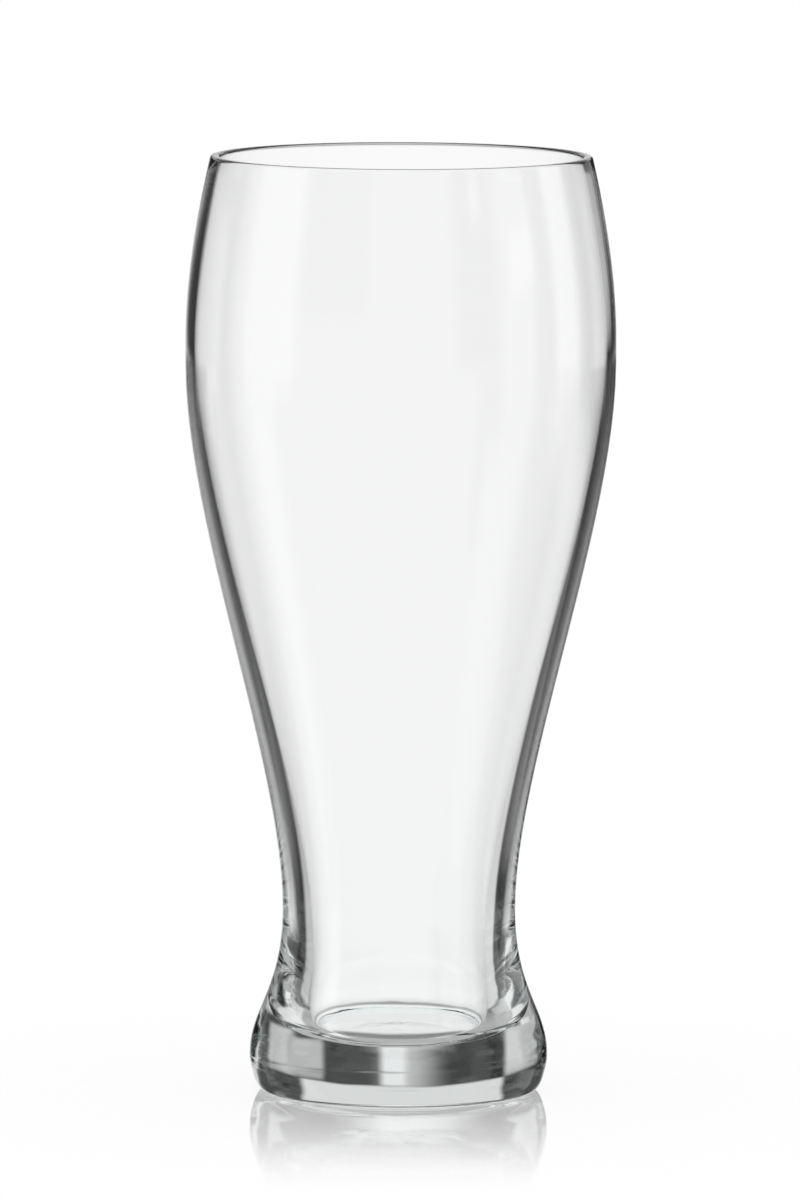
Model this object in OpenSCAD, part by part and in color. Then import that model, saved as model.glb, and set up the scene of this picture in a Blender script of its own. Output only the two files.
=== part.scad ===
// Weizen glass: a tall clear beer glass with a full belly near the top, a lip that
// draws in a little, a long taper to a narrow waist and a heavy foot of solid glass.
// The axis of the glass is Z, and it stands on the plane Z = 0. Sizes are in millimetres.

/* [Lip] */
// Height of the glass, from the table to the top of the lip
glass_h = 200; // [190:1:220]
// Outer diameter at the lip, just under its rounded edge
rim_d = 81.5; // [77:0.1:86]
// Lean of the outer wall at the lip, in degrees in from upright
rim_lean = 13; // [8:0.5:17]
// Thickness of the wall at the lip
rim_wall = 2.2; // [1.8:0.1:3]
// Rounding of the lip's two edges
lip_round = 0.7; // [0.3:0.05:0.85]

/* [Belly] */
// Largest outer diameter of the bowl
belly_d = 91.6; // [88:0.1:97]
// Height of the bowl's largest outer diameter above the table
belly_z = 155.7; // [148:0.1:164]
// Thickness of the wall at the belly
belly_wall = 2; // [1.5:0.1:3]
// Thickness that the wall is drawn towards between the belly and the lip
shoulder_wall = 2.6; // [1.4:0.1:3]

/* [Waist] */
// Outer diameter at the waist
waist_d = 49.7; // [45:0.1:56]
// Height of the waist above the table
waist_z = 39.1; // [34:0.1:46]
// Thickness of the wall at the waist
waist_wall = 5.9; // [4.5:0.1:8]
// Thickness that the wall is drawn towards on the lower flank, over the waist
lower_flank_wall = 3.6; // [2.8:0.1:6]
// Thickness that the wall is drawn towards on the upper flank, under the belly
upper_flank_wall = 3.2; // [2:0.1:5]

/* [Well] */
// Largest diameter of the hollow just over its floor
well_d = 39.3; // [35:0.1:42]
// Height of the hollow's rounded corner, from its floor to its wall
well_corner = 5.7; // [4:0.1:8]
// Thickness of the solid glass from the table to the hollow's floor
floor_t = 9.3; // [7:0.1:14]

/* [Foot] */
// Largest outer diameter of the foot
foot_d = 63.6; // [59:0.1:70]
// Height of the foot's largest diameter above the table
foot_z = 7.9; // [6.5:0.1:9.5]
// Height of the heel, from the table to the flat circle where the bowl meets it
heel_h = 4.4; // [3.5:0.1:5.5]
// Lean of the outer wall where the bowl meets the heel, in degrees out from upright
heel_lean = 15; // [8:0.5:22]
// Outer diameter of the flat ring that the glass stands on
stand_d = 56.4; // [52:0.1:57]
// Width of the flat ring that the glass stands on
stand_w = 6; // [3:0.1:9]
// Depth of the shallow hollow under the foot
push_up = 0.8; // [0.4:0.1:2]

/* [Outer curve] */
// Share of the shoulder's height over which the lip's lean carries down
shoulder_pull = 0.58; // [0.4:0.01:0.65]
// Share of the shoulder's height over which the belly stays upright
belly_up_pull = 0.14; // [0.05:0.01:0.3]
// Share of the flank's height over which the belly stays upright
belly_down_pull = 0.29; // [0.15:0.01:0.45]
// Share of the flank's height over which the waist stays upright
waist_up_pull = 0.26; // [0.15:0.01:0.45]
// Share of the skirt's height over which the waist stays upright
waist_down_pull = 0.57; // [0.4:0.01:0.65]
// Share of the skirt's height over which the foot stays upright
foot_up_pull = 0.3; // [0.15:0.01:0.4]
// Share of the height from the heel to the foot's largest diameter over which each end keeps its direction
foot_turn_pull = 0.37; // [0.25:0.01:0.5]
// Share of the heel's height over which the wall's lean carries down
heel_pull = 0.36; // [0.2:0.01:0.6]
// Share of the heel's width over which it lies flat
heel_flat = 0.69; // [0.4:0.01:0.8]
// Share of the foot's lower hollow over which its top lies flat
push_up_flat = 0.6; // [0.3:0.01:0.7]
// Share of the foot's lower hollow over which it runs out flat to the ring
push_up_run_out = 0.2; // [0.05:0.01:0.3]

/* [Well's curve] */
// Share of the height from waist to well over which the flank's slope carries down
hollow_waist_pull = 0.65; // [0.3:0.01:0.7]
// Share of the height from waist to well over which the well's wall stays upright
well_up_pull = 0.23; // [0.15:0.01:0.3]
// Share of the well's corner over which its wall stays upright
well_corner_pull = 0.75; // [0.6:0.01:1]
// Share of the well's radius over which its floor lies flat
well_floor_pull = 0.88; // [0.5:0.01:0.9]

/* [Hidden] */

// Straight steps that a long curve and a small rounding are cut into
curve_steps = 20;
round_steps = 6;
// Handle of a curve that turns a right angle as an arc does, as a share of its radius
arc_pull = 0.55;
$fn = 128;

// Clear glass, with the faint grey-green of its thick places
glass_colour = [0.86, 0.92, 0.91, 0.5];

// Direction up along the wall where the bowl meets the heel
heel_rise = [sin(heel_lean), cos(heel_lean)];

// Points of the half section where one curve of the bowl ends and the next starts. The
// heel's top lies in from the foot's largest radius as an arc between the two would have it
foot_turn_h = foot_z - heel_h;
heel_top = [foot_d / 2 - foot_turn_h * tan(heel_lean / 2), heel_h];
foot_edge = [foot_d / 2, foot_z];
waist = [waist_d / 2, waist_z];
belly = [belly_d / 2, belly_z];
rim_outer = [rim_d / 2, glass_h - lip_round];
lip_outer = rim_outer + [-lip_round, lip_round];
rim_inner = rim_outer - [rim_wall, 0];
lip_inner = rim_inner + [lip_round, lip_round];
hollow_waist = waist - [waist_wall, 0];
well_edge = [well_d / 2, floor_t + well_corner];
well_floor = [0, floor_t];

// Points of the foot's underside
stand_outer = [stand_d / 2, 0];
stand_inner = stand_outer - [stand_w, 0];
push_up_top = [0, push_up];

// Direction up along the wall at the lip
lean = [-sin(rim_lean), cos(rim_lean)];

// The value at share t of a curve with four handles, which are points or thicknesses.
// It leaves the first handle towards the second and reaches the fourth from the third.
function along(handles, t) =
    pow(1 - t, 3) * handles[0]
    + 3 * pow(1 - t, 2) * t * handles[1]
    + 3 * (1 - t) * pow(t, 2) * handles[2]
    + pow(t, 3) * handles[3];

// The points of that curve, without its last one, which starts the next curve
function curve(handles, steps = curve_steps) =
    [for (i = [0 : steps - 1]) along(handles, i / steps)];

// The inner face behind an outer curve, from the curve's end back to its start, for a
// wall whose level thickness changes along the curve
function inner_face(handles, walls) = [
    for (i = [0 : curve_steps - 1])
        let (t = 1 - i / curve_steps)
        along(handles, t) - [along(walls, t), 0]
];

// The handles of a curve between two points at which the wall is upright
function upright(a, d, a_pull, d_pull) =
    let (rise = [0, d.y - a.y])
    [a, a + a_pull * rise, d - d_pull * rise, d];

// The outer curves, from the heel's top up to the lip
foot_turn = [
    heel_top,
    heel_top + foot_turn_pull * foot_turn_h * heel_rise,
    foot_edge - [0, foot_turn_pull * foot_turn_h],
    foot_edge
];
skirt = upright(foot_edge, waist, foot_up_pull, waist_down_pull);
flank = upright(waist, belly, waist_up_pull, belly_down_pull);
shoulder_h = rim_outer.y - belly.y;
shoulder = [
    belly,
    belly + [0, belly_up_pull * shoulder_h],
    rim_outer - shoulder_pull * shoulder_h * lean,
    rim_outer
];

// The wall's thickness along the flank and along the shoulder. Its taper at the belly carries
// on from the one to the other, so that the inner face has no crease there
belly_taper = (belly_wall - upper_flank_wall) / (belly.y - flank[2].y);
carried_wall = belly_wall + belly_taper * (shoulder[1].y - belly.y);
flank_walls = [waist_wall, lower_flank_wall, upper_flank_wall, belly_wall];
shoulder_walls = [belly_wall, carried_wall, shoulder_wall, rim_wall];

// The lip's two rounded edges, which a narrow flat land joins
lip_outer_edge = [
    rim_outer,
    rim_outer + arc_pull * lip_round * lean,
    lip_outer + [arc_pull * lip_round, 0],
    lip_outer
];
lip_inner_edge = [
    lip_inner,
    lip_inner - [arc_pull * lip_round, 0],
    rim_inner + arc_pull * lip_round * lean,
    rim_inner
];

// The hollow below the waist, which carries on the slope of the flank's inner face and
// then widens to the well, and the well's rounded corner and floor
flank_slope = (waist_wall - lower_flank_wall) / (flank[1].y - waist.y);
neck_h = waist.y - well_edge.y;
neck = [
    hollow_waist,
    hollow_waist - hollow_waist_pull * neck_h * [flank_slope, 1],
    well_edge + [0, well_up_pull * neck_h],
    well_edge
];
well = [
    well_edge,
    well_edge - [0, well_corner_pull * well_corner],
    well_floor + [well_floor_pull * well_edge.x, 0],
    well_floor
];

// The foot's heel, from the ring that it stands on up to its top
heel = [
    stand_outer,
    stand_outer + [heel_flat * (heel_top.x - stand_outer.x), 0],
    heel_top - heel_pull * heel_h * heel_rise,
    heel_top
];

// The shallow hollow under the foot, from the middle out to the ring
underside = [
    push_up_top,
    push_up_top + [push_up_flat * stand_inner.x, 0],
    stand_inner - [push_up_run_out * stand_inner.x, 0],
    stand_inner
];

// The bowl: a blown wall that thickens towards the waist, over a floor of solid glass
// that meets the foot on the flat circle at the heel's top
module bowl() {
    outside = concat(curve(foot_turn, round_steps), curve(skirt), curve(flank), curve(shoulder));
    lip = concat(curve(lip_outer_edge, round_steps), [lip_outer], curve(lip_inner_edge, round_steps));
    walls = concat(inner_face(shoulder, shoulder_walls), inner_face(flank, flank_walls));
    bottom = concat(curve(neck), curve(well), [well_floor, [0, heel_h]]);
    color(glass_colour)
        rotate_extrude()
            polygon(concat(outside, lip, walls, bottom));
}

// The foot: a solid disc with a rounded heel, a flat ring to stand on and a push-up
module foot() {
    color(glass_colour)
        rotate_extrude()
            polygon(concat(curve(underside), [stand_inner], curve(heel), [heel_top, [0, heel_h]]));
}

bowl();
foot();
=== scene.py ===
"""The looks of a weizen glass: one clear, fire-polished glass on a white table.

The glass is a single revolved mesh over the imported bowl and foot. It stands in a studio made for
clear glass: a white backdrop with dark gaps beside it and soft boxes at the sides, so that the
glass's walls stay bright and its edges draw themselves dark.
"""

from __future__ import annotations

import logging
import math
from dataclasses import dataclass, field
from enum import Enum

import bmesh
import bpy
from mathutils import Matrix, Vector
from mathutils.geometry import interpolate_bezier

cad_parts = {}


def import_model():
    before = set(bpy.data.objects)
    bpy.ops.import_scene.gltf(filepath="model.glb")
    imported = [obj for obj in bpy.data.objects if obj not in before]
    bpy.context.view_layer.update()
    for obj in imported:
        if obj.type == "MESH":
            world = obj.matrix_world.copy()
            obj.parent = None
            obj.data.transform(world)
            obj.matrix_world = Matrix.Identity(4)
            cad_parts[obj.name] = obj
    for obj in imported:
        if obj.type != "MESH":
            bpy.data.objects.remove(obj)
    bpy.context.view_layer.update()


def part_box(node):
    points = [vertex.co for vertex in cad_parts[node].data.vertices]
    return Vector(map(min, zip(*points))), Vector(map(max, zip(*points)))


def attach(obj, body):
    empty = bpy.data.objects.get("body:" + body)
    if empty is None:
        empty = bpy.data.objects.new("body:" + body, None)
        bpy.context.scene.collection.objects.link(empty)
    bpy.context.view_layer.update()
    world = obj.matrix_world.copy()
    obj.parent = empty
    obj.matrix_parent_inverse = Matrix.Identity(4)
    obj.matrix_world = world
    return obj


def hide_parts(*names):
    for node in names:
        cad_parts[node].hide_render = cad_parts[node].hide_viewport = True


LOG = logging.getLogger("weizen_glass")
WHITE = (1.0, 1.0, 1.0, 1.0)

# One millimetre in metres, and half a turn in degrees
MM = 0.001
HALF_TURN = 180.0

# How often light may pass on through the thick foot, and how often it may be mirrored in it
PASSES = 32
MIRRORINGS = 24

# Sides of a flat round helper of the stage
DISC_SIDES = 96

Walls = tuple[float, float, float, float]
Colour = tuple[float, float, float, float]
Stretch = tuple[float, float, float]
Feed = bpy.types.NodeSocket | float | Colour | Stretch


class Ray(Enum):
    """What a shader can ask about the ray that sees it, by its Light Path output."""

    MIRRORED = "Is Singular Ray"
    TRANSMISSION = "Is Transmission Ray"
    FACES_CROSSED = "Transmission Depth"
    BOUNCES = "Glossy Depth"
    FILMS_PASSED = "Transparent Depth"


class Shader:
    """Adds and joins the nodes of one material or world."""

    # Places of a Mix node's two colours and of their mix, among its sockets for other kinds of data
    FIRST_COLOUR = 6
    SECOND_COLOUR = 7
    MIXED_COLOUR = 2

    def __init__(self, owner: bpy.types.Material | bpy.types.World) -> None:
        """Empties the owner's node tree.

        Args:
            owner: The material or world whose nodes are made here.
        """
        owner.use_nodes = True
        self.tree = owner.node_tree
        self.tree.nodes.clear()

    def add(
        self, kind: str, feeds: dict[str | int, Feed] | None = None, **settings: object
    ) -> bpy.types.Node:
        """Adds a node, sets its options and feeds its inputs.

        Args:
            kind: The node's type, without its ShaderNode prefix.
            feeds: What goes into each input, by the input's name or place: a socket or a plain value.
            settings: Options of the node itself, such as operation.

        Returns:
            The new node.
        """
        node = self.tree.nodes.new(f"ShaderNode{kind}")
        for name, value in settings.items():
            setattr(node, name, value)
        for socket, value in (feeds or {}).items():
            self.feed(node.inputs[socket], value)
        return node

    def feed(self, socket: bpy.types.NodeSocket, value: Feed) -> None:
        """Links a socket into an input, or sets the input's plain value.

        Args:
            socket: The input.
            value: An output to link, or a plain value.
        """
        if isinstance(value, bpy.types.NodeSocket):
            self.tree.links.new(value, socket)
        else:
            socket.default_value = value

    def math(self, operation: str, *values: Feed) -> bpy.types.NodeSocket:
        """Adds a Math node.

        Args:
            operation: The node's operation.
            values: Its inputs in order.

        Returns:
            The result's socket.
        """
        return self.add("Math", dict(enumerate(values)), operation=operation).outputs[0]

    def fade(
        self, value: Feed, start: float, end: float, low: float, high: float
    ) -> bpy.types.NodeSocket:
        """Turns a value into a smooth step.

        Args:
            value: What is measured.
            start: The measure at which the step starts.
            end: The measure at which it ends.
            low: The result up to start.
            high: The result from end on.

        Returns:
            The result's socket.
        """
        feeds = {"Value": value, "From Min": start, "From Max": end, "To Min": low, "To Max": high}
        return self.add("MapRange", feeds, interpolation_type="SMOOTHSTEP").outputs["Result"]

    def blend(self, share: Feed, first: Feed, second: Feed) -> bpy.types.NodeSocket:
        """Mixes two colours.

        Args:
            share: How much of the second colour there is.
            first: The first colour.
            second: The second colour.

        Returns:
            The mixed colour's socket.
        """
        node = self.add("Mix", data_type="RGBA")
        self.feed(node.inputs["Factor"], share)
        self.feed(node.inputs[self.FIRST_COLOUR], first)
        self.feed(node.inputs[self.SECOND_COLOUR], second)
        return node.outputs[self.MIXED_COLOUR]


@dataclass(frozen=True)
class ClearGlass:
    """Colourless fire-polished glass with a faint grey-green depth and a shallow ripple in its foot.

    Lengths are in metres. The ripple is full up to ripple_full, fades out up to ripple_top and keeps
    the share ripple_above over that.
    """

    ior: float = 1.52
    clear: Colour = (0.997, 0.998, 0.998, 1.0)
    thick: Colour = (0.99, 0.994, 0.994, 1.0)
    depth_colour: Colour = (0.66, 0.80, 0.79, 1.0)
    depth_density: float = 2.5
    thick_below: float = 45 * MM
    ripple_turns: float = 2.5
    ripple_rings: float = 300.0
    ripple_detail: float = 1.0
    ripple_height: float = 0.05 * MM
    ripple_full: float = 17 * MM
    ripple_top: float = 34 * MM
    ripple_above: float = 0.04

    def rings(self, shader: Shader, place: bpy.types.NodeSocket) -> bpy.types.NodeSocket:
        """Makes the ripple: ragged rings round the axis, up the foot's wall and across the floor.

        Args:
            shader: The material's nodes.
            place: A place in the glass.

        Returns:
            The ripple's height from 0 to 1.
        """
        flat = (1.0, 1.0, 0.0)
        level = shader.add("VectorMath", {0: place, 1: flat}, operation="MULTIPLY").outputs[0]
        radius = shader.add("VectorMath", {0: level}, operation="LENGTH").outputs["Value"]
        turn = shader.add("VectorMath", {0: level}, operation="NORMALIZE").outputs[0]
        turns = {0: turn, "Scale": self.ripple_turns}
        round_axis = shader.add("VectorMath", turns, operation="SCALE").outputs[0]
        upward = (0.0, 0.0, self.ripple_rings)
        ring = shader.add("VectorMath", {0: place, 1: upward, 2: round_axis}, operation="MULTIPLY_ADD")
        outward = shader.math("MULTIPLY", radius, self.ripple_rings)
        feeds = {"Vector": ring.outputs[0], "W": outward, "Scale": 1.0, "Detail": self.ripple_detail}
        return shader.add("TexNoise", feeds, noise_dimensions="4D").outputs["Fac"]

    def material(self) -> bpy.types.Material:
        """Makes the glass's material.

        Returns:
            A material with transmission, depth colour and ripple.
        """
        made = bpy.data.materials.new("clear_glass")
        shader = Shader(made)
        place = shader.add("TexCoord").outputs["Object"]
        height = shader.add("SeparateXYZ", {0: place}).outputs["Z"]
        thick_share = shader.fade(height, 0.0, self.thick_below, 1.0, 0.0)
        ripple_share = shader.fade(height, self.ripple_full, self.ripple_top, 1.0, self.ripple_above)
        ripple = shader.math("MULTIPLY", self.rings(shader, place), ripple_share)
        bump = shader.add("Bump", {"Strength": 1.0, "Distance": self.ripple_height, "Height": ripple})
        surface = shader.add(
            "BsdfPrincipled",
            {
                "Base Color": shader.blend(thick_share, self.clear, self.thick),
                "Roughness": 0.0,
                "IOR": self.ior,
                "Transmission Weight": 1.0,
                "Normal": bump.outputs["Normal"],
            },
        )
        depth_feeds = {"Color": self.depth_colour, "Density": self.depth_density}
        depth = shader.add("VolumeAbsorption", depth_feeds)
        shader.add("OutputMaterial", {"Surface": surface.outputs[0], "Volume": depth.outputs[0]})
        return made


def scene_object(name: str, shape: bmesh.types.BMesh) -> bpy.types.Object:
    """Puts a finished shape into the scene.

    Args:
        name: The object's name.
        shape: Its shape, which is used up.

    Returns:
        The new object, at the origin.
    """
    mesh = bpy.data.meshes.new(name)
    shape.to_mesh(mesh)
    shape.free()
    made = bpy.data.objects.new(name, mesh)
    bpy.context.scene.collection.objects.link(made)
    return made


def flat_disc(name: str, radius: float, height: float) -> bpy.types.Object:
    """Makes a flat round helper of the stage.

    Args:
        name: The disc's name.
        radius: Its radius.
        height: How high it lies.

    Returns:
        The disc's object.
    """
    shape = bmesh.new()
    bmesh.ops.create_circle(shape, cap_ends=True, radius=radius, segments=DISC_SIDES)
    disc = scene_object(name, shape)
    disc.location.z = height
    return disc


def point(radius: float, height: float) -> Vector:
    """Gives a point of the half section, which lies in the XZ plane."""
    return Vector((radius, 0.0, height))


@dataclass(frozen=True)
class Curve:
    """A smooth stretch of the half section: its two ends, and the handle by which it joins each."""

    start: Vector
    leave: Vector
    meet: Vector
    end: Vector

    @classmethod
    def upright(cls, start: Vector, end: Vector, start_pull: float, end_pull: float) -> Curve:
        """Makes a curve between two points at which the wall is upright.

        Args:
            start: Where the curve starts.
            end: Where it ends.
            start_pull: The share of its height over which it stays upright at its start.
            end_pull: The share at its end.

        Returns:
            The curve.
        """
        rise = point(0.0, end.z - start.z)
        return cls(start, start + start_pull * rise, end - end_pull * rise, end)

    def cut(self, steps: int) -> list[Vector]:
        """Cuts the curve into straight steps.

        Args:
            steps: How many there are.

        Returns:
            The points from its start, without its end, which starts the next curve.
        """
        return interpolate_bezier(self.start, self.leave, self.meet, self.end, steps + 1)[:-1]

    def inner_face(self, walls: Walls, steps: int) -> list[Vector]:
        """Follows the curve back to its start, behind a wall of changing thickness.

        Args:
            walls: The wall's level thickness at the curve's start, handles and end.
            steps: How many straight steps there are.

        Returns:
            The points behind the curve's end and on, without the one behind its start.
        """
        outer = interpolate_bezier(self.start, self.leave, self.meet, self.end, steps + 1)
        depth = interpolate_bezier(*(point(wall, 0.0) for wall in walls), steps + 1)
        return [place - wall for place, wall in zip(outer, depth)][:0:-1]


@dataclass
class WeizenGlass:
    """The glass, revolved from the curves of its half section.

    Lengths are in metres. A pull or a flat is the share of a curve's reach over which it keeps the
    direction that it has at that end.
    """

    height: float
    belly_r: float
    heel_r: float
    heel_h: float
    rim_r: float = 40.75 * MM
    rim_wall: float = 2.2 * MM
    rim_lean: float = math.radians(13)
    lip_round: float = 0.7 * MM
    belly_z: float = 155.7 * MM
    belly_wall: float = 2.0 * MM
    shoulder_wall: float = 2.6 * MM
    waist_r: float = 24.85 * MM
    waist_z: float = 39.1 * MM
    waist_wall: float = 5.9 * MM
    lower_flank_wall: float = 3.6 * MM
    upper_flank_wall: float = 3.2 * MM
    well_r: float = 19.65 * MM
    well_corner: float = 5.7 * MM
    floor_z: float = 9.3 * MM
    foot_r: float = 31.8 * MM
    foot_z: float = 7.9 * MM
    heel_lean: float = math.radians(15)
    stand_r: float = 28.2 * MM
    stand_w: float = 6.0 * MM
    push_up: float = 0.8 * MM
    shoulder_pull: float = 0.58
    belly_up_pull: float = 0.14
    belly_down_pull: float = 0.29
    waist_up_pull: float = 0.26
    waist_down_pull: float = 0.57
    foot_up_pull: float = 0.3
    foot_turn_pull: float = 0.37
    heel_pull: float = 0.36
    heel_flat: float = 0.69
    push_up_flat: float = 0.6
    push_up_run_out: float = 0.2
    hollow_waist_pull: float = 0.65
    well_up_pull: float = 0.23
    well_corner_pull: float = 0.75
    well_floor_pull: float = 0.88
    arc_pull: float = 0.55
    curve_steps: int = 24
    round_steps: int = 8
    quarter_turn_steps: int = 64
    merge_gap: float = 0.001 * MM
    finish: ClearGlass = field(default_factory=ClearGlass)

    @classmethod
    def from_frame(cls) -> WeizenGlass:
        """Takes the height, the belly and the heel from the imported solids.

        Returns:
            The glass at the frame's size.
        """
        bowl_low, bowl_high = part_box("bowl")
        foot_low, foot_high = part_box("foot")
        return cls(
            height=bowl_high[2],
            belly_r=(bowl_high[0] - bowl_low[0]) / 2,
            heel_r=(foot_high[0] - foot_low[0]) / 2,
            heel_h=foot_high[2],
        )

    @property
    def heel_top(self) -> Vector:
        """The top of the heel, where the bowl meets the foot."""
        return point(self.heel_r, self.heel_h)

    @property
    def heel_rise(self) -> Vector:
        """The direction up along the wall at the heel's top."""
        return point(math.sin(self.heel_lean), math.cos(self.heel_lean))

    @property
    def foot_edge(self) -> Vector:
        """The foot's largest radius."""
        return point(self.foot_r, self.foot_z)

    @property
    def waist(self) -> Vector:
        """The waist's smallest radius."""
        return point(self.waist_r, self.waist_z)

    @property
    def belly(self) -> Vector:
        """The belly's largest radius."""
        return point(self.belly_r, self.belly_z)

    @property
    def rim_outer(self) -> Vector:
        """The end of the outer wall, where the lip's rounding starts."""
        return point(self.rim_r, self.height - self.lip_round)

    @property
    def lean(self) -> Vector:
        """The direction up along the wall at the lip."""
        return point(-math.sin(self.rim_lean), math.cos(self.rim_lean))

    @property
    def flank(self) -> Curve:
        """The outer wall from the waist up to the belly."""
        return Curve.upright(self.waist, self.belly, self.waist_up_pull, self.belly_down_pull)

    @property
    def shoulder(self) -> Curve:
        """The outer wall from the belly up to the lip."""
        rise = self.rim_outer.z - self.belly.z
        leave = self.belly + point(0.0, self.belly_up_pull * rise)
        meet = self.rim_outer - self.shoulder_pull * rise * self.lean
        return Curve(self.belly, leave, meet, self.rim_outer)

    def foot(self) -> list[Vector]:
        """Draws the underside and the heel, from the axis out to the heel's top.

        Returns:
            The points in order, without the heel's top.
        """
        top = point(0.0, self.push_up)
        stand_inner = point(self.stand_r - self.stand_w, 0.0)
        stand_outer = point(self.stand_r, 0.0)
        leave = top + point(self.push_up_flat * stand_inner.x, 0.0)
        meet = stand_inner - point(self.push_up_run_out * stand_inner.x, 0.0)
        underside = Curve(top, leave, meet, stand_inner)
        leave = stand_outer + point(self.heel_flat * (self.heel_r - self.stand_r), 0.0)
        meet = self.heel_top - self.heel_pull * self.heel_h * self.heel_rise
        heel = Curve(stand_outer, leave, meet, self.heel_top)
        return [*underside.cut(self.curve_steps), stand_inner, *heel.cut(self.curve_steps)]

    def outside(self) -> list[Vector]:
        """Draws the outer wall from the heel's top up to the lip.

        Returns:
            The points in order, without the last.
        """
        pull = self.foot_turn_pull * (self.foot_z - self.heel_h)
        leave = self.heel_top + pull * self.heel_rise
        meet = self.foot_edge - point(0.0, pull)
        foot_turn = Curve(self.heel_top, leave, meet, self.foot_edge)
        skirt = Curve.upright(self.foot_edge, self.waist, self.foot_up_pull, self.waist_down_pull)
        curves = (foot_turn, skirt, self.flank, self.shoulder)
        return [place for curve in curves for place in curve.cut(self.curve_steps)]

    def lip(self) -> list[Vector]:
        """Draws the lip: two small rounded edges and the narrow land between them.

        Returns:
            The points from the outer wall's end, without the inner wall's.
        """
        across = point(self.arc_pull * self.lip_round, 0.0)
        along = self.arc_pull * self.lip_round * self.lean
        rim_inner = self.rim_outer - point(self.rim_wall, 0.0)
        lip_outer = self.rim_outer + point(-self.lip_round, self.lip_round)
        lip_inner = rim_inner + point(self.lip_round, self.lip_round)
        outer_edge = Curve(self.rim_outer, self.rim_outer + along, lip_outer + across, lip_outer)
        inner_edge = Curve(lip_inner, lip_inner - across, rim_inner + along, rim_inner)
        return [*outer_edge.cut(self.round_steps), lip_outer, *inner_edge.cut(self.round_steps)]

    def inside(self) -> list[Vector]:
        """Draws the hollow's wall behind the shoulder and the flank, from the lip down to the waist.

        The wall's taper carries on over the belly, so that the inner face has no crease there.

        Returns:
            The points in order, without the last.
        """
        taper = (self.belly_wall - self.upper_flank_wall) / (self.flank.end.z - self.flank.meet.z)
        carried_wall = self.belly_wall + taper * (self.shoulder.leave.z - self.shoulder.start.z)
        shoulder_walls = (self.belly_wall, carried_wall, self.shoulder_wall, self.rim_wall)
        flank_walls = (self.waist_wall, self.lower_flank_wall, self.upper_flank_wall, self.belly_wall)
        return [
            *self.shoulder.inner_face(shoulder_walls, self.curve_steps),
            *self.flank.inner_face(flank_walls, self.curve_steps),
        ]

    def well(self) -> list[Vector]:
        """Draws the hollow from the waist down to the middle of the well's floor.

        Returns:
            The points in order.
        """
        hollow_waist = self.waist - point(self.waist_wall, 0.0)
        well_edge = point(self.well_r, self.floor_z + self.well_corner)
        well_floor = point(0.0, self.floor_z)
        slope = (self.waist_wall - self.lower_flank_wall) / (self.flank.leave.z - self.waist_z)
        neck_h = self.waist_z - well_edge.z
        leave = hollow_waist - self.hollow_waist_pull * neck_h * point(slope, 1.0)
        meet = well_edge + point(0.0, self.well_up_pull * neck_h)
        neck = Curve(hollow_waist, leave, meet, well_edge)
        leave = well_edge - point(0.0, self.well_corner_pull * self.well_corner)
        meet = well_floor + point(self.well_floor_pull * self.well_r, 0.0)
        corner = Curve(well_edge, leave, meet, well_floor)
        return [*neck.cut(self.curve_steps), *corner.cut(self.curve_steps), well_floor]

    def build(self) -> bpy.types.Object:
        """Spins a quarter of the glass from its half section and mirrors it into the closed whole.

        Returns:
            The glass's object, at the origin.
        """
        shape = bmesh.new()
        section = [*self.foot(), *self.outside(), *self.lip(), *self.inside(), *self.well()]
        corners = [shape.verts.new(place) for place in section]
        edges = [shape.edges.new(pair) for pair in zip(corners, corners[1:])]
        bmesh.ops.spin(
            shape,
            geom=[*corners, *edges],
            axis=(0.0, 0.0, 1.0),
            cent=(0.0, 0.0, 0.0),
            angle=math.pi / 2,
            steps=self.quarter_turn_steps,
        )
        for axis in ("X", "Y"):
            bmesh.ops.mirror(
                shape,
                geom=[*shape.verts, *shape.edges, *shape.faces],
                matrix=Matrix.Identity(4),
                merge_dist=self.merge_gap,
                axis=axis,
            )
        bmesh.ops.remove_doubles(shape, verts=shape.verts, dist=self.merge_gap)
        bmesh.ops.recalc_face_normals(shape, faces=shape.faces)
        for face in shape.faces:
            face.smooth = True
        return scene_object("glass", shape)

    def dress(self, piece: bpy.types.Object) -> None:
        """Gives the glass its finish and its place in the frame.

        Args:
            piece: The glass's object.
        """
        piece.data.materials.append(self.finish.material())
        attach(piece, "root")
        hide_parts("bowl", "foot")


@dataclass(frozen=True)
class Card:
    """A card of the studio, by the angles between which it stands round the glass.

    Its level is 0 for black and 1 for white. Angles are in degrees: azimuth 0 is straight behind the
    glass, and 90 is to its right. A flare is how much wider each side grows for each degree down from
    the top. A soft edge fades half inside the card and half outside it.
    """

    level: float
    left: float
    right: float
    bottom: float = -90.0
    top: float = 90.0
    flare: float = 0.0
    soft_sides: float = 3.0
    soft_ends: float = 3.0

    def cover(
        self, shader: Shader, azimuth: bpy.types.NodeSocket, elevation: bpy.types.NodeSocket
    ) -> bpy.types.NodeSocket:
        """Works out how much of a direction the card covers.

        Args:
            shader: The world's nodes.
            azimuth: The direction's azimuth in degrees.
            elevation: The direction's elevation in degrees.

        Returns:
            The covered share's socket.
        """
        middle = (self.left + self.right) / 2
        reach = (self.right - self.left) / 2 + self.flare * self.top
        turn = shader.math("WRAP", shader.math("SUBTRACT", azimuth, middle), HALF_TURN, -HALF_TURN)
        aside = shader.math("MULTIPLY_ADD", elevation, self.flare, shader.math("ABSOLUTE", turn))
        side = self.soft_sides / 2
        end = self.soft_ends / 2
        across = shader.fade(aside, reach - side, reach + side, 1.0, 0.0)
        over = shader.fade(elevation, self.bottom - end, self.bottom + end, 0.0, 1.0)
        under = shader.fade(elevation, self.top - end, self.top + end, 1.0, 0.0)
        return shader.math("MULTIPLY", across, shader.math("MULTIPLY", over, under))


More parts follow.
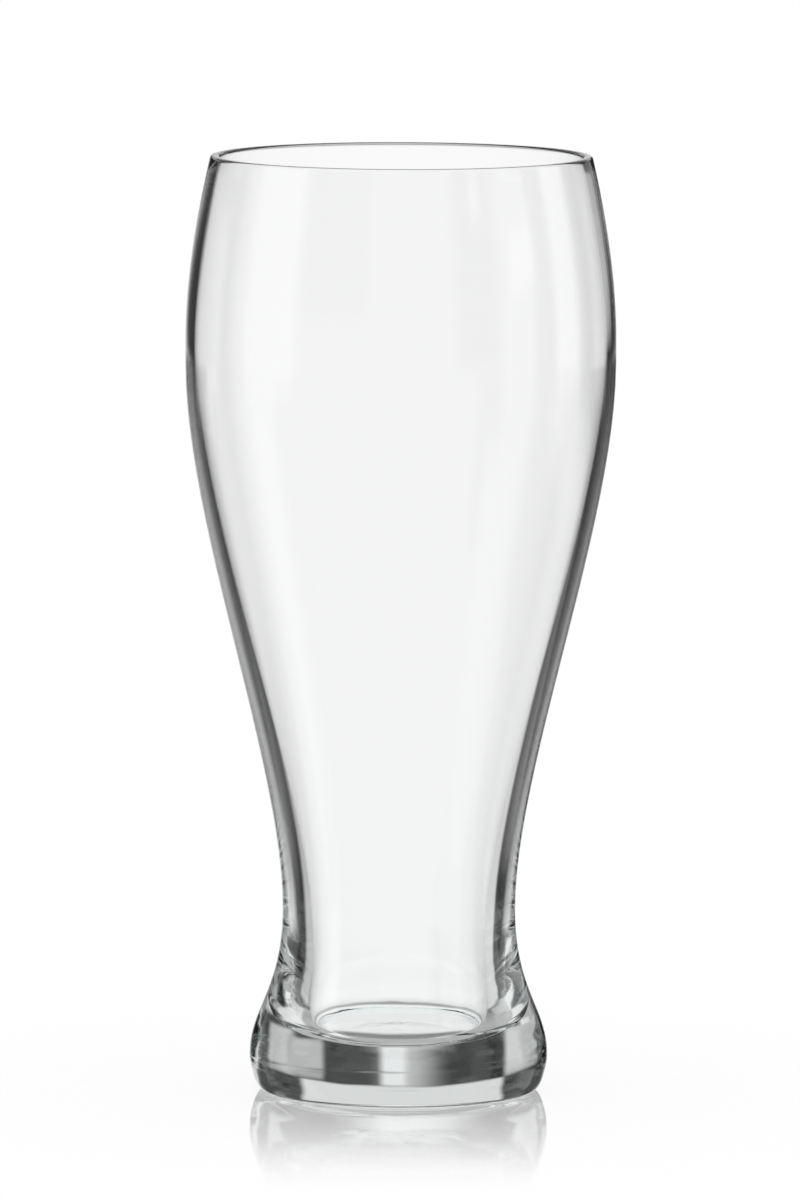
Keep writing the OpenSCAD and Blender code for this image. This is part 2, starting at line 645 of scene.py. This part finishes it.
@dataclass
class Surround:
    """The studio round the glass: cards for what it mirrors and bends, and even white for the rest.

    The cards lie over each other in order. Straight through both walls of the hollow, or in through
    the mouth, the backdrop is white down to backdrop_end and fades to its underside at
    backdrop_start. What the far wall and the well's floor mirror back is the plain room under its
    white ceiling. Faces and bounces are whole counts, so each is tested against a half.
    """

    cards: dict[str, Card]
    room_level: float = 0.45
    ceiling_start: float = 30.0
    ceiling_end: float = 45.0
    under_backdrop: float = 0.15
    backdrop_start: float = -44.0
    backdrop_end: float = -30.0
    wall_faces: float = 3.5
    no_bounce: float = 0.5

    def card_level(
        self, shader: Shader, azimuth: bpy.types.NodeSocket, elevation: bpy.types.NodeSocket
    ) -> Feed:
        """Lays the cards over each other.

        Args:
            shader: The world's nodes.
            azimuth: A direction's azimuth in degrees.
            elevation: Its elevation in degrees.

        Returns:
            The light that comes from that direction.
        """
        level: Feed = self.room_level
        for card in self.cards.values():
            cover = card.cover(shader, azimuth, elevation)
            change = shader.math("SUBTRACT", card.level, level)
            level = shader.math("MULTIPLY_ADD", cover, change, level)
        return level

    def behind(
        self, shader: Shader, elevation: bpy.types.NodeSocket, bounces: bpy.types.NodeSocket
    ) -> bpy.types.NodeSocket:
        """Sets what a ray sees that has gone right through the hollow.

        Args:
            shader: The world's nodes.
            elevation: The ray's elevation in degrees.
            bounces: How often the ray was mirrored.

        Returns:
            The backdrop's light, or the room's for a mirrored ray.
        """
        mirrored = shader.math("GREATER_THAN", bounces, self.no_bounce)
        room = shader.fade(elevation, self.ceiling_start, self.ceiling_end, self.room_level, 1.0)
        low, high = self.backdrop_start, self.backdrop_end
        backdrop = shader.fade(elevation, low, high, self.under_backdrop, 1.0)
        return shader.blend(mirrored, backdrop, room)

    def build(self) -> bpy.types.World:
        """Makes the world.

        Returns:
            The scene's world, with its shader.
        """
        world = bpy.data.worlds.new("studio")
        shader = Shader(world)
        path = shader.add("LightPath").outputs
        way = shader.add("SeparateXYZ", {0: shader.add("TexCoord").outputs["Generated"]}).outputs
        azimuth = shader.math("DEGREES", shader.math("ARCTAN2", way["X"], way["Y"]))
        elevation = shader.math("DEGREES", shader.math("ARCSINE", way["Z"]))
        both_walls = shader.math("GREATER_THAN", path[Ray.FACES_CROSSED.value], self.wall_faces)
        through = shader.math("MAXIMUM", both_walls, path[Ray.FILMS_PASSED.value])
        behind = self.behind(shader, elevation, path[Ray.BOUNCES.value])
        seen = shader.blend(through, self.card_level(shader, azimuth, elevation), behind)
        in_glass = shader.math("MAXIMUM", path[Ray.MIRRORED.value], path[Ray.TRANSMISSION.value])
        light = shader.blend(in_glass, WHITE, seen)
        sky = shader.add("Background", {"Color": light, "Strength": 1.0})
        shader.add("OutputWorld", {"Surface": sky.outputs[0]})
        bpy.context.scene.world = world
        return world


@dataclass(frozen=True)
class Table:
    """A white glossy table top that keeps the glass's shadow and a mirror image that fades out."""

    radius: float = 220 * MM
    gap: float = 0.05 * MM
    shadow_share: float = 0.3
    shadow_end: float = 200 * MM
    mirror_share: float = 0.52
    mirror_start: float = 30 * MM
    mirror_end: float = 150 * MM
    mirror_roughness: float = 0.05

    def build(self) -> bpy.types.Object:
        """Makes the table top.

        Returns:
            The table's object, which is stage and no part of the glass.
        """
        table = flat_disc("table", self.radius, -self.gap)
        table.data.materials.append(self.material())
        table.visible_transmission = False
        table.visible_glossy = False
        return table

    def material(self) -> bpy.types.Material:
        """Makes the table's finish.

        Returns:
            A white that equals the background's, apart from the glass's shadow and mirror image.
        """
        made = bpy.data.materials.new("white_table")
        shader = Shader(made)
        place = shader.add("TexCoord").outputs["Object"]
        away = shader.add("VectorMath", {0: place}, operation="LENGTH").outputs["Value"]
        glow = shader.add("Emission", {"Color": WHITE, "Strength": 1.0})
        matt = shader.add("BsdfDiffuse", {"Color": WHITE})
        shade = shader.fade(away, 0.0, self.shadow_end, self.shadow_share, 0.0)
        white = shader.add("MixShader", {0: shade, 1: glow.outputs[0], 2: matt.outputs[0]})
        mirror = shader.add("BsdfGlossy", {"Color": WHITE, "Roughness": self.mirror_roughness})
        share = shader.fade(away, self.mirror_start, self.mirror_end, self.mirror_share, 0.0)
        top = shader.add("MixShader", {0: share, 1: white.outputs[0], 2: mirror.outputs[0]})
        shader.add("OutputMaterial", {"Surface": top.outputs[0]})
        return made


@dataclass(frozen=True)
class MouthFilm:
    """A film over the mouth that can't be seen and only marks the rays that look in there."""

    radius: float
    height: float
    clearance: float = 0.05 * MM

    @classmethod
    def over(cls, glass: WeizenGlass) -> MouthFilm:
        """Fits the film into the lip.

        Args:
            glass: The glass.

        Returns:
            The film.
        """
        return cls(radius=glass.rim_r - glass.rim_wall, height=glass.rim_outer.z)

    def build(self) -> bpy.types.Object:
        """Makes the film.

        Returns:
            The film's object, which is stage and no part of the glass.
        """
        film = flat_disc("mouth_film", self.radius - self.clearance, self.height)
        film.data.materials.append(self.material())
        return film

    def material(self) -> bpy.types.Material:
        """Makes the film's finish.

        Returns:
            A material that lets all light pass.
        """
        made = bpy.data.materials.new("clear_film")
        shader = Shader(made)
        clear = shader.add("BsdfTransparent", {"Color": WHITE})
        shader.add("OutputMaterial", {"Surface": clear.outputs[0]})
        return made


@dataclass(frozen=True)
class PhotoCamera:
    """A long lens that looks a little down on the glass from straight in front."""

    lens: float = 386.1
    distance: float = 2.742
    pitch: float = math.radians(6.14)
    aim_height: float = 105.1 * MM
    roll: float = math.radians(0.2)

    def build(self) -> bpy.types.Object:
        """Makes the scene's camera.

        Returns:
            The camera's object.
        """
        camera = bpy.data.objects.new("camera", bpy.data.cameras.new("camera"))
        camera.data.lens = self.lens
        back = Vector((0.0, -math.cos(self.pitch), math.sin(self.pitch)))
        camera.location = Vector((0.0, 0.0, self.aim_height)) + self.distance * back
        level = Matrix.Rotation(math.pi / 2 - self.pitch, 3, "X")
        camera.rotation_euler = (level @ Matrix.Rotation(self.roll, 3, "Z")).to_euler()
        bpy.context.scene.collection.objects.link(camera)
        bpy.context.scene.camera = camera
        return camera


STUDIO_CARDS = {
    "dark wall": Card(0.04, -76, 66, bottom=-29, top=14, soft_sides=8, soft_ends=6),
    "dark ceiling": Card(0.05, -35, 12, bottom=32, top=58, soft_sides=8),
    "dark floor": Card(0.25, -62, -8, bottom=-58, top=-38, soft_sides=8),
    "low light": Card(0.85, -50, 10, bottom=-37, top=-30, soft_sides=8),
    "left panel": Card(0.6, -65, -35.5, bottom=-9, top=6, soft_sides=4, soft_ends=4),
    "left panel's foot": Card(0.52, -64, -46, bottom=-24, top=-8.5, soft_sides=8, soft_ends=4),
    "left panel's lower edge": Card(0.9, -57, -47.5, bottom=-12, top=-7.5, soft_ends=2),
    "right panel": Card(0.58, 35, 52.5, bottom=-8, top=6, soft_sides=6, soft_ends=4),
    "right panel's inner edge": Card(0.48, 22, 38, bottom=-2.5, top=5.5, soft_ends=4),
    "right panel's foot": Card(0.7, 42, 66, bottom=-27, top=-14, soft_sides=6, soft_ends=4),
    "backdrop": Card(0.55, -16, 10, bottom=-21, top=-5, flare=0.5, soft_sides=14, soft_ends=6),
    "backdrop's middle": Card(0.85, -10, 4, bottom=-22, top=-1, soft_sides=16, soft_ends=6),
    "slit's glow": Card(0.55, -8, 2, bottom=-3, top=7, soft_sides=14),
    "slit": Card(0.85, -2, 4.5, bottom=-14, top=6.5),
    "upper strip": Card(0.74, -35, 31, bottom=7, top=14, soft_sides=4, soft_ends=2),
    "left soft box": Card(1.0, -120, -86, bottom=-11, top=34, soft_sides=8, soft_ends=6),
    "left soft box's foot": Card(1.0, -105, -86, bottom=-50, top=-11, soft_sides=8, soft_ends=6),
    "left high gap": Card(0.1, -112, -90, bottom=35, top=45, soft_sides=6),
    "far left gap": Card(0.2, -162, -124, bottom=3, top=30, soft_sides=6),
    "right soft box": Card(1.0, 68, 86, bottom=-8, soft_ends=6),
    "right gap": Card(0.0, 88, 102, bottom=-30, top=26, soft_sides=4),
    "low right gap": Card(0.0, 70, 92, bottom=-30, top=-18, soft_sides=6),
    "far right soft box": Card(0.55, 103, 122, bottom=-20, top=5, soft_sides=4, soft_ends=8),
    "far right box's top": Card(1.0, 100, 117, bottom=6, top=12, soft_sides=4, soft_ends=4),
    "far right gap": Card(0.0, 124, 150, bottom=-6, top=30, soft_sides=12, soft_ends=6),
    "far right gap's foot": Card(0.1, 122, 137, bottom=-30, top=-6, soft_sides=6, soft_ends=6),
    "far right box's foot": Card(0.65, 110, 129, bottom=-50, top=-20, soft_sides=8, soft_ends=8),
    "far right slit": Card(0.6, 133, 139, bottom=15, top=40),
}


def set_light_paths(scene: bpy.types.Scene) -> None:
    """Lets light pass through the thick foot, and shows colours as they are written.

    Args:
        scene: The scene.
    """
    scene.view_settings.view_transform = "Standard"
    scene.cycles.max_bounces = PASSES
    scene.cycles.transmission_bounces = PASSES
    scene.cycles.glossy_bounces = MIRRORINGS


def main() -> None:
    """Builds the glass, its table, its light and the camera."""
    logging.basicConfig(level=logging.INFO, format="%(name)s: %(message)s")
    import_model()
    PhotoCamera().build()
    glass = WeizenGlass.from_frame()
    piece = glass.build()
    glass.dress(piece)
    LOG.info("%s: %d faces", piece.name, len(piece.data.polygons))
    table = Table().build()
    film = MouthFilm.over(glass).build()
    LOG.info("%s and %s: stage", table.name, film.name)
    Surround(STUDIO_CARDS).build()
    set_light_paths(bpy.context.scene)


if __name__ == "__main__":
    main()
